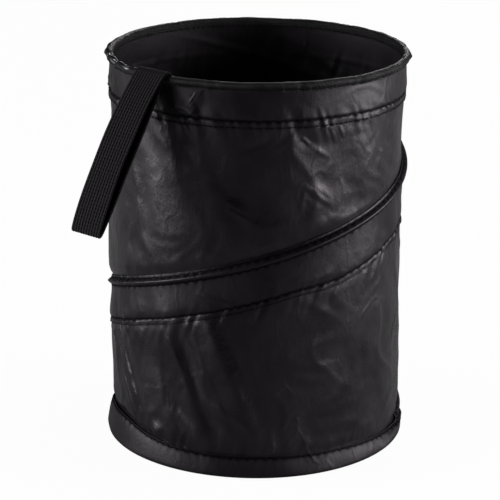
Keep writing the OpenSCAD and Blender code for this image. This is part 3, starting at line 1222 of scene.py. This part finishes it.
@dataclass
class Studio:
    """Plain soft light and a pale floor."""

    world: float = 0.032
    floor_size: float = 8.0
    floor_z: float = -0.4 * MM
    lamps: tuple[Lamp, ...] = (
        Lamp("left", (-1.5, -0.16, 0.28), 0.9, 36),
        Lamp("right", (1.5, -0.06, 0.26), 0.9, 40),
        Lamp("left_front", (-1.25, -0.75, 0.2), 0.6, 2.6),
        Lamp("right_front", (1.2, -0.85, 0.24), 0.6, 8.0),
        Lamp("top", (0.1, 0.2, 1.6), 0.6, 3),
        Lamp("back", (0.25, 1.7, 0.75), 0.4, 6),
        Lamp("front", (-0.5, -1.7, 1.2), 0.6, 0.6),
    )

    def background(self) -> None:
        """A surround that is white to the camera and lights the bin with a dim grey."""
        world = bpy.data.worlds.new("surround")
        bpy.context.scene.world = world
        world.use_nodes = True
        nodes, links = world.node_tree.nodes, world.node_tree.links
        nodes.clear()
        path = nodes.new("ShaderNodeLightPath")
        soft, white = nodes.new("ShaderNodeBackground"), nodes.new("ShaderNodeBackground")
        soft.inputs["Color"].default_value = (self.world, self.world, self.world, 1)
        white.inputs["Color"].default_value = (1, 1, 1, 1)
        mix, end = nodes.new("ShaderNodeMixShader"), nodes.new("ShaderNodeOutputWorld")
        links.new(path.outputs["Is Camera Ray"], mix.inputs["Fac"])
        links.new(soft.outputs[0], mix.inputs[1])
        links.new(white.outputs[0], mix.inputs[2])
        links.new(mix.outputs[0], end.inputs["Surface"])

    def build(self) -> None:
        """Makes the floor, the surround and the lamps."""
        deselect()
        bpy.ops.mesh.primitive_plane_add(size=self.floor_size, location=(0, 0, self.floor_z))
        floor = bpy.context.object
        floor.name = "floor"
        floor.data.materials.append(PaleFloor().material())
        floor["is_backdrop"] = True
        self.background()
        for lamp in self.lamps:
            lamp.build()


@dataclass
class Shell:
    """The bin's cloth wall and its base."""

    sizes: Sizes
    shape: ClothShape
    dresser: Dresser
    finishes: Finishes
    across: int = 340
    up: int = 140
    base_faces: tuple[int, int] = (120, 40)

    def wall(self) -> bpy.types.Object:
        """The wall: one creased tube of cloth."""
        sizes, shape = self.sizes, self.shape

        def wrap(u: np.ndarray, v: np.ndarray) -> np.ndarray:
            angle = TURN * u - 180
            z = sizes.wall_bottom + (sizes.wall_top - sizes.wall_bottom) * v
            return polar(angle, sizes.wall_r + shape.offset(angle, z), z)

        piece = cloth_grid("wall_cloth", self.across, self.up, wrap, closed=True)
        turn_out(piece)
        outer = len(piece.data.vertices)
        thicken(piece, sizes.cloth)
        # Marks the inner face, which the finish makes rougher for its uncoated side and mixes 35% toward
        # black as painted shade inside the bin.
        inside = np.arange(len(piece.data.vertices)) >= outer
        marks = piece.data.attributes.new("inside", "FLOAT", "POINT")
        marks.data.foreach_set("value", inside.astype(np.float32))
        smooth_faces(piece, 70)
        self.dresser.dress(piece, self.finishes.shell, "shell_cloth", Body.BASE, ["wall_panel"], folds=True)
        return piece

    def base(self) -> bpy.types.Object:
        """The stiff base panel in its cloth cover."""
        low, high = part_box("base_panel")
        radius = high[0] - 0.2 * MM
        dents = Ripples(41, 5, 60, 12)

        def spread(u: np.ndarray, v: np.ndarray) -> np.ndarray:
            angle, r = TURN * u, radius * v
            wave = dents.at(angle, r) * smooth(v / 0.2) * smooth((1 - v) / 0.06)
            return polar(angle, r, high[2] - 0.25 * MM + 0.14 * MM * wave)

        piece = cloth_grid("base_cloth", *self.base_faces, spread, closed=True)
        thicken(piece, high[2] - low[2] - 0.5 * MM)
        face_outwards(piece)
        smooth_faces(piece, 60)
        return self.dresser.dress(piece, self.finishes.base, "base_cloth", Body.BASE, ["base_panel"])


@dataclass
class HelicalTape:
    """The sewn tape that holds the wire's helix against the wall."""

    sizes: Sizes
    shape: ClothShape
    dresser: Dresser
    finishes: Finishes
    along: int = 560
    across: int = 44
    end_height: float = 8.2 * MM
    tunnel: float = 2.0 * MM
    tight: float = 4.2 * MM
    tunnel_share: float = 0.3
    hem_share: float = 0.72
    row_above: float = 2.1 * MM
    row_below: float = -2.2 * MM
    row_rise: float = 3.2 * MM
    area_share: float = 0.88

    def span(self) -> tuple[float, float]:
        """Angles at which the tape starts below the binding and ends in the base hem."""
        route = self.shape.route
        return route.angle(self.sizes.binding_low - 0.1 * MM), route.angle(self.end_height)

    def edges(self, angle: np.ndarray) -> tuple[np.ndarray, np.ndarray]:
        """How far the tape reaches above and below the wire at angles."""
        wire = self.shape.route.z(angle)
        up = np.minimum(self.shape.tape_hem, self.sizes.binding_low - 0.3 * MM - wire)
        room = np.maximum(wire - self.sizes.base_hem - 0.3 * MM, 2.8 * MM)
        return up, np.minimum(self.shape.tape_drop(angle), room)

    def face(self, angle: np.ndarray, above: np.ndarray) -> np.ndarray:
        """Points on the tape's outer face at angles and heights above the wire."""
        z = self.shape.route.z(angle) + above
        base = self.sizes.wall_r + 0.3 * MM + self.sizes.tape
        lift = self.tunnel * bell(above / (1.42 * MM))
        narrow = 0.55 * MM
        rows = bell((above - self.row_above) / narrow) + bell((above - self.row_below) / narrow)
        sink = 0.22 * MM * rows
        return polar(angle, base + self.shape.offset(angle, z) + lift - sink, z)

    def seams(self, angle: np.ndarray, z: np.ndarray) -> np.ndarray:
        """Painted shade along the tape's three rows of stitches, and a painted shadow under its lower edge.
        """
        dark = np.zeros_like(angle)
        for own, above, there in self.shape.wires(angle, z):
            low = self.row_low(own)
            tug = scallops(own)
            wide = (0.85 + 0.35 * tug) * MM
            for place in (self.row_above, self.row_below, low):
                dark = np.maximum(dark, there * bell((above - place + 0.6 * MM * tug) / wide))
            # A painted shadow along the tape's lower cut edge.
            dark = np.maximum(dark, there * 0.7 * bell((above + self.edges(own)[1]) / (0.8 * MM)))
        return dark

    def row_top(self, angle: np.ndarray) -> np.ndarray:
        """Where the top row of stitches runs, from the wire."""
        return np.minimum(self.edges(angle)[0] - 0.6 * MM, self.row_above)

    def row_low(self, angle: np.ndarray) -> np.ndarray:
        """Where the lower row of stitches runs, from the wire."""
        return -np.maximum(self.edges(angle)[1] - self.row_rise, 1.9 * MM)

    def row(self, name: str, above: Callable[[np.ndarray], np.ndarray]) -> bpy.types.Object:
        """A row of stitches along the tape."""
        start, end = self.span()
        angle = np.linspace(start - 1, end + 1, LINE_POINTS)
        points = self.face(angle, above(angle))
        stitches = StitchRow(name).along(points)
        return self.dresser.dress(stitches, self.finishes.thread, "tape_cloth", Body.BASE, folds=True)

    def build(self) -> None:
        """Makes the tape and its three rows of stitches."""
        start, end = self.span()

        def lay(u: np.ndarray, v: np.ndarray) -> np.ndarray:
            angle = start + (end - start) * u
            up, down = self.edges(angle)
            tight = np.minimum(self.tight, down / 2)
            first, last = self.tunnel_share, self.hem_share
            tunnel = up - (up + tight) * v / first
            middle = -tight - (down - 2 * tight) * (v - first) / (last - first)
            hem = -(down - tight) - tight * (v - last) / (1 - last)
            above = np.where(v < first, tunnel, np.where(v < last, middle, hem))
            return self.face(angle, above)

        piece = cloth_grid("tape_cloth", self.along, self.across, lay)
        turn_out(piece)
        thicken(piece, self.sizes.tape)
        smooth_faces(piece, 60)
        darken(piece, self.seams)
        self.dresser.dress(piece, self.finishes.tape, "tape_cloth", Body.BASE, ["helical_tape"], folds=True)
        run = math.radians(start - end) * self.sizes.band_r
        tall = self.shape.tape_short + self.shape.tape_step + self.shape.tape_hem + 1 * MM
        self.area_share * run * tall
        self.row("tape_stitches_top", self.row_top)
        self.row("tape_stitches_upper", lambda angle: np.full_like(angle, self.row_below))
        self.row("tape_stitches_lower", self.row_low)


@dataclass
class SpringCoil:
    """The spring wire: a closed turn in the rim, the helix and a closed turn in the base."""

    sizes: Sizes
    route: WireRoute
    dresser: Dresser
    finishes: Finishes
    step: float = 3.0

    def build(self) -> None:
        """Makes the wire as one swept mesh."""
        clear = self.sizes.bend / 2 + 2.5 * MM / self.route.slope
        first = self.sizes.leave + TURN - clear
        last = self.route.end - TURN + clear
        angle = np.arange(first, last, -self.step)
        points = polar(angle, np.full_like(angle, self.sizes.hoop_r), self.route.z(angle))
        path = bpy.data.curves.new("spring_coil", "CURVE")
        path.dimensions = "3D"
        path.bevel_depth = self.sizes.wire_r
        path.bevel_resolution = 3
        path.use_fill_caps = True
        line = path.splines.new("POLY")
        line.points.add(len(points) - 1)
        line.points.foreach_set("co", np.hstack([points, np.ones((len(points), 1))]).ravel())
        piece = bpy.data.objects.new("spring_coil", path)
        bpy.context.collection.objects.link(piece)
        activate(piece)
        bpy.ops.object.convert(target="MESH")
        piece = bpy.context.object
        smooth_faces(piece, 60)
        steel = self.finishes.steel
        self.dresser.dress(piece, steel, "spring_steel", Body.BASE, ["spring_wire"], folds=True)


@dataclass
class Rim:
    """The binding over the rim's wire and the band sewn below it."""

    sizes: Sizes
    shape: ClothShape
    dresser: Dresser
    finishes: Finishes
    fold_r: float = 2.15 * MM
    inner_r: float = 75.5 * MM
    foot_r: float = 78.25 * MM
    cover_r: float = 79.8 * MM
    binding_wide: float = 14.4 * MM
    leg_share: float = 0.2
    foot_share: float = 0.82
    most_pull: float = 1.0 * MM
    binding_faces: tuple[int, int] = (420, 34)
    band_faces: tuple[int, int] = (440, 30)
    band_gap: float = 6.0
    band_share: float = 0.94
    row_rise: float = 4.4 * MM
    edge_rise: float = 1.1 * MM
    # Lines of painted shade in the creases where the loop pinches the band.
    pinch_shade_lines: tuple[tuple[float, float, float, float], ...] = (
        (-110.2, 0.2046, -114.8, 0.1962),
        (-115.4, 0.2015, -112.2, 0.1935),
        (-114.8, 0.1962, -111.4, 0.1900),
        (-112.6, 0.1945, -116.4, 0.1896),
    )
    folds: tuple[Crease, ...] = (
        Crease(-110.5, 0.2042, -115.5, 0.1955, 0.38 * MM, 1.9 * MM),
        Crease(-115.5, 0.1965, -111.0, 0.1868, 0.34 * MM, 1.9 * MM),
        Crease(-112.0, 0.1960, -117.0, 0.1872, 0.26 * MM, 1.8 * MM),
        Crease(-123.0, 0.1915, -113.5, 0.1895, 0.45 * MM, 1.8 * MM),
        Crease(-166.0, 0.2035, -175.0, 0.1880, 1.0 * MM, 2.4 * MM),
        Crease(-177.0, 0.1995, -169.0, 0.1860, 1.2 * MM, 1.9 * MM),
        Crease(-158.0, 0.2010, -163.0, 0.1880, 0.9 * MM, 2.0 * MM),
        Crease(-60.0, 0.2000, -30.0, 0.1975, 0.35 * MM, 2.6 * MM),
    )

    def binding_line(self, v: np.ndarray) -> tuple[np.ndarray, np.ndarray]:
        """The binding's section: up its inner leg, over the wire and down its outer leg."""
        mid, top = self.inner_r + self.fold_r, self.sizes.top - self.fold_r
        low = self.sizes.binding_low
        leg, foot = self.leg_share, self.foot_share
        turn = np.pi * (1 - (v - leg) / (foot - leg))
        r = np.where(v < leg, self.inner_r, mid + self.fold_r * np.cos(turn))
        z = np.where(v < leg, low + (top - low) * v / leg, top + self.fold_r * np.sin(turn))
        down = np.clip((v - foot) / (1 - foot), 0, 1)
        outer = mid + self.fold_r
        r = np.where(v > foot, outer + (self.foot_r - outer) * smooth(down * 1.3), r)
        z = np.where(v > foot, top + (low - top) * down, z)
        return r, z

    def binding_face(self, angle: np.ndarray, v: np.ndarray) -> np.ndarray:
        """Points on the binding's outer face, a little uneven."""
        r, z = self.binding_line(v)
        along = self.sizes.along(angle)
        uneven = Ripples(51, 40, 0, 14, 6).at(angle, 0 * angle)
        fine = puckers(along, 0 * angle, 3.3 * MM, 1, 52)
        foot = smooth((v - 0.7) / 0.25)
        cover = self.shape.wire_cover(angle, z, 1.8 * MM) * (v > 0.75) * smooth((v - 0.75) / 0.1)
        gather = puckers(along, 0 * angle, 5.2 * MM, 1, 54)
        r = r + (0.2 * MM * uneven + 0.2 * MM * gather) * smooth((v - 0.3) / 0.2) + 0.12 * MM * fine * foot
        r = np.maximum(r, r + cover * (self.cover_r - np.minimum(r, self.cover_r)))
        sag = np.abs(0.16 * MM * Ripples(53, 17, 0, 10, 2).at(angle, 0 * angle))
        sag = sag + 0.14 * MM * np.abs(gather)
        pull = self.pull(angle)
        top = smooth((z - self.sizes.binding_low) / (2 * MM))
        return polar(angle, r - 0.5 * pull * top, z - (sag + pull) * top)

    def pull(self, angle: np.ndarray) -> np.ndarray:
        """How far the loop's pull wrinkles the rim beside it."""
        off = turned_from(angle, -160)
        return self.most_pull * bell(off / 15) * (1 + 0.9 * np.cos(np.radians(off * 30)))

    def binding(self) -> None:
        """Makes the binding and its stitches."""

        def wrap(u: np.ndarray, v: np.ndarray) -> np.ndarray:
            return self.binding_face(TURN * u - 180, v)

        piece = cloth_grid("binding_cloth", *self.binding_faces, wrap, closed=True)
        turn_out(piece, lambda face: math.hypot(face.center.x, face.center.y))
        thicken(piece, self.sizes.tape)
        smooth_faces(piece, 60)
        self.dresser.dress(piece, self.finishes.binding, "binding_cloth", Body.RIM, ["rim_binding"])
        angle = np.linspace(-180, 180, LINE_POINTS)
        for name, share in (("binding_stitches_outer", 0.93), ("binding_stitches_inner", 0.07)):
            row = StitchRow(name).along(self.binding_face(angle, np.full_like(angle, share)))
            self.dresser.dress(row, self.finishes.thread, "binding_cloth", Body.RIM)

    def band_face(self, angle: np.ndarray, z: np.ndarray) -> np.ndarray:
        """Points on the band's outer face at angles and heights."""
        r = self.sizes.wall_r + 0.3 * MM + self.sizes.tape + self.shape.offset(angle, z)
        off = turned_from(angle, 0)
        return polar(angle, r + sum(fold.at(off, z, self.sizes.wall_r) for fold in self.folds), z)

    def band_low(self, angle: np.ndarray) -> np.ndarray:
        """The band's lower edge, which the tape cuts off at the back."""
        own = (angle - self.shape.route.angle(self.sizes.binding_low)) % TURN
        own = self.shape.route.angle(self.sizes.binding_low) + own - TURN
        above_tape = self.shape.route.z(own) + self.shape.tape_hem + 0.35 * MM
        return np.maximum(self.sizes.rim_hem, np.where(own > 60, above_tape, self.sizes.rim_hem))

    def band(self) -> None:
        """Makes the band and the stitches along its lower edge."""
        start = self.shape.route.angle(self.sizes.binding_low - 0.1 * MM) + 0.5
        top = self.sizes.binding_low + 0.8 * MM

        def wrap(u: np.ndarray, v: np.ndarray) -> np.ndarray:
            angle = start + (TURN - self.band_gap) * u
            low = self.band_low(angle)
            return self.band_face(angle, low + (top - low) * v**1.7)

        piece = cloth_grid("rim_band_cloth", *self.band_faces, wrap)
        turn_out(piece)
        thicken(piece, self.sizes.tape)
        smooth_faces(piece, 60)
        darken(piece, self.band_seams)
        self.dresser.dress(piece, self.finishes.tape, "shell_cloth", Body.RIM, ["rim_band"])
        tall = top - self.sizes.rim_hem
        wide = math.radians(TURN - self.band_gap) * self.sizes.band_r
        self.band_share * wide * tall
        angle = np.linspace(start + 1, start + TURN - self.band_gap - 2, LINE_POINTS)
        for name, rise in (("rim_seam_stitches", self.row_rise), ("rim_edge_stitches", self.edge_rise)):
            height = np.minimum(self.band_low(angle) + rise, self.sizes.binding_low - 0.8 * MM)
            row = StitchRow(name).along(self.band_face(angle, height))
            self.dresser.dress(row, self.finishes.thread, "shell_cloth", Body.RIM)

    def band_seams(self, angle: np.ndarray, z: np.ndarray) -> np.ndarray:
        """Painted shade along the band's two rows of stitches and in its pinched creases."""
        rise = z - self.band_low(angle)
        tug = scallops(angle)
        dark = bell((rise - self.row_rise + 0.4 * MM * tug) / ((0.85 + 0.3 * tug) * MM))
        dark = np.maximum(dark, 0.45 * bell((rise - self.edge_rise) / (0.6 * MM)))
        # Painted shade in the pinched creases beside the loop.
        for angle_a, z_a, angle_b, z_b in self.pinch_shade_lines:
            share = np.clip((z - z_a) / (z_b - z_a), -0.05, 1.05)
            away = self.sizes.along(angle - angle_a - (angle_b - angle_a) * share)
            inside = (share > -0.04) & (share < 1.04)
            dark = np.maximum(dark, 0.75 * inside * bell(away / (0.75 * MM)))
        return dark

    def build(self) -> None:
        """Makes the rim."""
        self.binding()
        self.band()


@dataclass
class BaseHem:
    """The hem round the base's wire: flat below, round outside and drawn in at its lip."""

    sizes: Sizes
    shape: ClothShape
    dresser: Dresser
    finishes: Finishes
    inner_r: float = 75.5 * MM
    bulge_r: float = 80.1 * MM
    corner: float = 1.5 * MM
    inner_top: float = 6.1 * MM
    cover_r: float = 80.5 * MM
    strip_wide: float = 22.5 * MM
    row_share: float = 0.055
    faces: tuple[int, int] = (400, 44)

    def line(self) -> tuple[np.ndarray, np.ndarray]:
        """Corner points of the hem's outer section, from its lip down and inwards."""
        r = [77.5 * MM, 77.6 * MM, 77.95 * MM, 78.45 * MM, 79.0 * MM, 79.5 * MM, 79.9 * MM, self.bulge_r]
        z = [self.sizes.base_hem, 10.9 * MM, 10.1 * MM, 8.9 * MM, 7.2 * MM, 5.4 * MM, 3.6 * MM, 2.4 * MM]
        for turn in np.linspace(0, math.pi / 2, 6):
            r.append(self.bulge_r - self.corner + self.corner * math.cos(turn))
            z.append(1.72 * MM - self.corner * math.sin(turn))
        r += [77.0 * MM, self.inner_r + 0.3 * MM, self.inner_r, self.inner_r]
        z += [0.22 * MM, 0.22 * MM, 0.6 * MM, self.inner_top]
        return np.array(r), np.array(z)

    def face(self, angle: np.ndarray, v: np.ndarray) -> np.ndarray:
        """Points on the hem's outer face at angles and shares along its section."""
        r, z = self.line()
        run = np.concatenate([[0], np.cumsum(np.hypot(np.diff(r), np.diff(z)))])
        r_at = np.interp(v * run[-1], run, r)
        z_at = np.interp(v * run[-1], run, z)
        outer = smooth((z_at - 0.5 * MM) / (2 * MM)) * (r_at > 77 * MM)
        curl = bell(turned_from(angle, -22) / 40) * (r_at > 77.4 * MM)
        low = 1 - smooth(z_at / (6 * MM))
        r_at = r_at - 0.3 * MM * curl * low
        z_at = z_at + 0.4 * MM * curl * low
        tall = (self.shape.hem_top(angle) - self.sizes.base_hem) * (r_at > 77.4 * MM)
        z_at = z_at + tall * smooth((z_at - 1.5 * MM) / (10 * MM))
        uneven = Ripples(61, 26, 0, 14, 4).at(angle, 0 * angle)
        lip = z_at - self.shape.hem_top(angle) + 2.6 * MM
        gather = puckers(self.sizes.along(angle), lip, 4.6 * MM, 3.0 * MM, 62)
        cover = self.shape.wire_cover(angle, z_at, 2.3 * MM) * outer
        r_at = r_at + outer * (0.14 * MM * uneven + 0.08 * MM * gather)
        r_at = r_at + cover * np.maximum(self.cover_r - r_at, 0)
        return polar(angle, r_at, z_at)

    def seam(self, angle: np.ndarray, z: np.ndarray) -> np.ndarray:
        """Painted shade along the hem's row of stitches."""
        tug = scallops(angle)
        return bell((z - self.shape.hem_top(angle) + (1.1 + 0.35 * tug) * MM) / ((1.0 + 0.3 * tug) * MM))

    def build(self) -> None:
        """Makes the hem and its stitches."""

        def wrap(u: np.ndarray, v: np.ndarray) -> np.ndarray:
            return self.face(TURN * u - 180, v)

        piece = cloth_grid("base_hem_cloth", *self.faces, wrap, closed=True)
        turn_out(piece, lambda face: math.hypot(face.center.x, face.center.y))
        thicken(piece, self.sizes.tape)
        smooth_faces(piece, 60)
        darken(piece, self.seam)
        self.dresser.dress(piece, self.finishes.hem, "shell_cloth", Body.BASE, ["base_hem"])
        angle = np.linspace(-180, 180, LINE_POINTS)
        row = StitchRow("base_seam_stitches").along(self.face(angle, np.full_like(angle, self.row_share)))
        self.dresser.dress(row, self.finishes.thread, "shell_cloth", Body.BASE)


@dataclass
class HangingLoop:
    """The ribbed webbing loop, folded over the rim and sewn inside it."""

    sizes: Sizes
    dresser: Dresser
    finishes: Finishes
    wide: float = 20 * MM
    layer: float = 0.85 * MM
    angle: float = -132.0
    mid: float = 77.8 * MM
    bend: float = 2.6 * MM
    reach: float = 47.9 * MM
    drop: float = 73.4 * MM
    bow: float = 1.5 * MM
    slack: float = 2.3 * MM
    tail_low: float = 186.2 * MM
    tail: float = 10 * MM
    keep: float = 0.36
    faces: tuple[int, int] = (260, 88)
    ribs: int = WEBBING_RIBS

    def line(self) -> np.ndarray:
        """The webbing's middle line, as distances out from the middle and heights."""
        rim = self.sizes.top - 2.3 * MM
        start = np.array([self.mid + self.bend + 0.9 * MM, rim + 0.4 * MM])
        end = np.array([self.mid + self.reach, self.sizes.top - self.drop])
        way = (end - start) / np.linalg.norm(end - start)
        out = np.array([-way[1], way[0]])
        half = self.layer / 2

        def middle(s: float) -> np.ndarray:
            return start + (end - start) * s + out * 4 * self.bow * s * (1 - s)

        def room(s: float) -> float:
            return self.slack * max(math.sin(math.pi * s**0.8), 0) ** 0.6 + 0.8 * MM * s + half

        def over(radius: float, turns: Iterable[float]) -> list[tuple[float, float]]:
            swing = np.radians(list(turns))
            return [(self.mid + radius * math.cos(t), rim + radius * math.sin(t)) for t in swing]

        outer, inner = self.bend + 1.35 * MM, self.bend + 0.45 * MM
        line = [(self.mid - outer, self.tail_low), (self.mid - outer, self.tail_low + self.tail)]
        line += over(outer, range(180, 38, -10))
        line += [tuple(middle(s) + out * room(s)) for s in np.linspace(0.08, 1, 22)]
        turned = math.degrees(math.atan2(way[1], way[0]))
        for t in np.radians(turned + np.arange(70, -71, -14)):
            line.append(tuple(end + room(1) * np.array([math.cos(t), math.sin(t)])))
        line += [tuple(middle(s) - out * room(s)) for s in np.linspace(1, 0.08, 22)]
        line += over(inner, range(15, 181, 10))
        line += [(self.mid - inner, self.tail_low + self.tail), (self.mid - inner, self.tail_low)]
        return np.array(line)

    def build(self) -> None:
        """Makes the loop as one long ribbed strip."""
        corners = self.line()
        run = np.concatenate([[0], np.cumsum(np.linalg.norm(np.diff(corners, axis=0), axis=1))])
        step = np.linspace(0, run[-1], 360)
        path = np.stack([np.interp(step, run, corners[:, k]) for k in range(2)], axis=1)
        for _ in range(6):
            path[1:-1] = 0.25 * path[:-2] + 0.5 * path[1:-1] + 0.25 * path[2:]
        ahead = np.gradient(path, axis=0)
        ahead /= np.linalg.norm(ahead, axis=1, keepdims=True)
        away = np.stack([-ahead[:, 1], ahead[:, 0]], axis=1)
        turn = math.radians(self.angle)
        out = np.array([math.cos(turn), math.sin(turn), 0])
        side = np.array([-math.sin(turn), math.cos(turn), 0])

        def lay(u: np.ndarray, v: np.ndarray) -> np.ndarray:
            spot = [np.interp(u, np.linspace(0, 1, len(path)), column) for column in (*path.T, *away.T)]
            rib = 0.34 * MM * (np.abs(np.sin(np.pi * self.ribs * v)) - 0.7)
            r, z = spot[0] + spot[2] * rib, spot[1] + spot[3] * rib
            across = (v - 0.5) * self.wide * (1 - 0.01 * np.sin(u * 40))
            return r[:, None] * out + across[:, None] * side + z[:, None] * np.array([0, 0, 1.0])

        piece = cloth_grid("webbing_loop", *self.faces, lay)
        thicken(piece, self.layer)
        face_outwards(piece)
        smooth_faces(piece, 55)
        self.dresser.dress(piece, self.finishes.webbing, "elastic_webbing", Body.RIM, ["hanging_loop"])
        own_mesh(piece)


# Making it all


def make() -> Iterable[Iterable[float]]:
    """Builds the whole scene and returns the box of the solids as loaded."""
    logging.basicConfig(level=logging.INFO, format="%(name)s: %(message)s")
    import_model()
    solid_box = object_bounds()
    Camera().build()
    Studio().build()
    sizes = Sizes.from_frame()
    route = WireRoute(sizes)
    shape = ClothShape(sizes, route)
    drape = Drape(sizes, shape)
    drape.run()
    shape.drape = drape
    finishes = Finishes()
    dresser = Dresser(sizes)
    shell = Shell(sizes, shape, dresser, finishes)
    shell.wall()
    shell.base()
    HelicalTape(sizes, shape, dresser, finishes).build()
    SpringCoil(sizes, route, dresser, finishes).build()
    Rim(sizes, shape, dresser, finishes).build()
    BaseHem(sizes, shape, dresser, finishes).build()
    HangingLoop(sizes, dresser, finishes).build()
    bpy.context.scene.view_settings.view_transform = "Standard"
    return solid_box


def main() -> None:
    """Builds the scene."""
    solid_box = make()


if __name__ == "__main__":
    main()
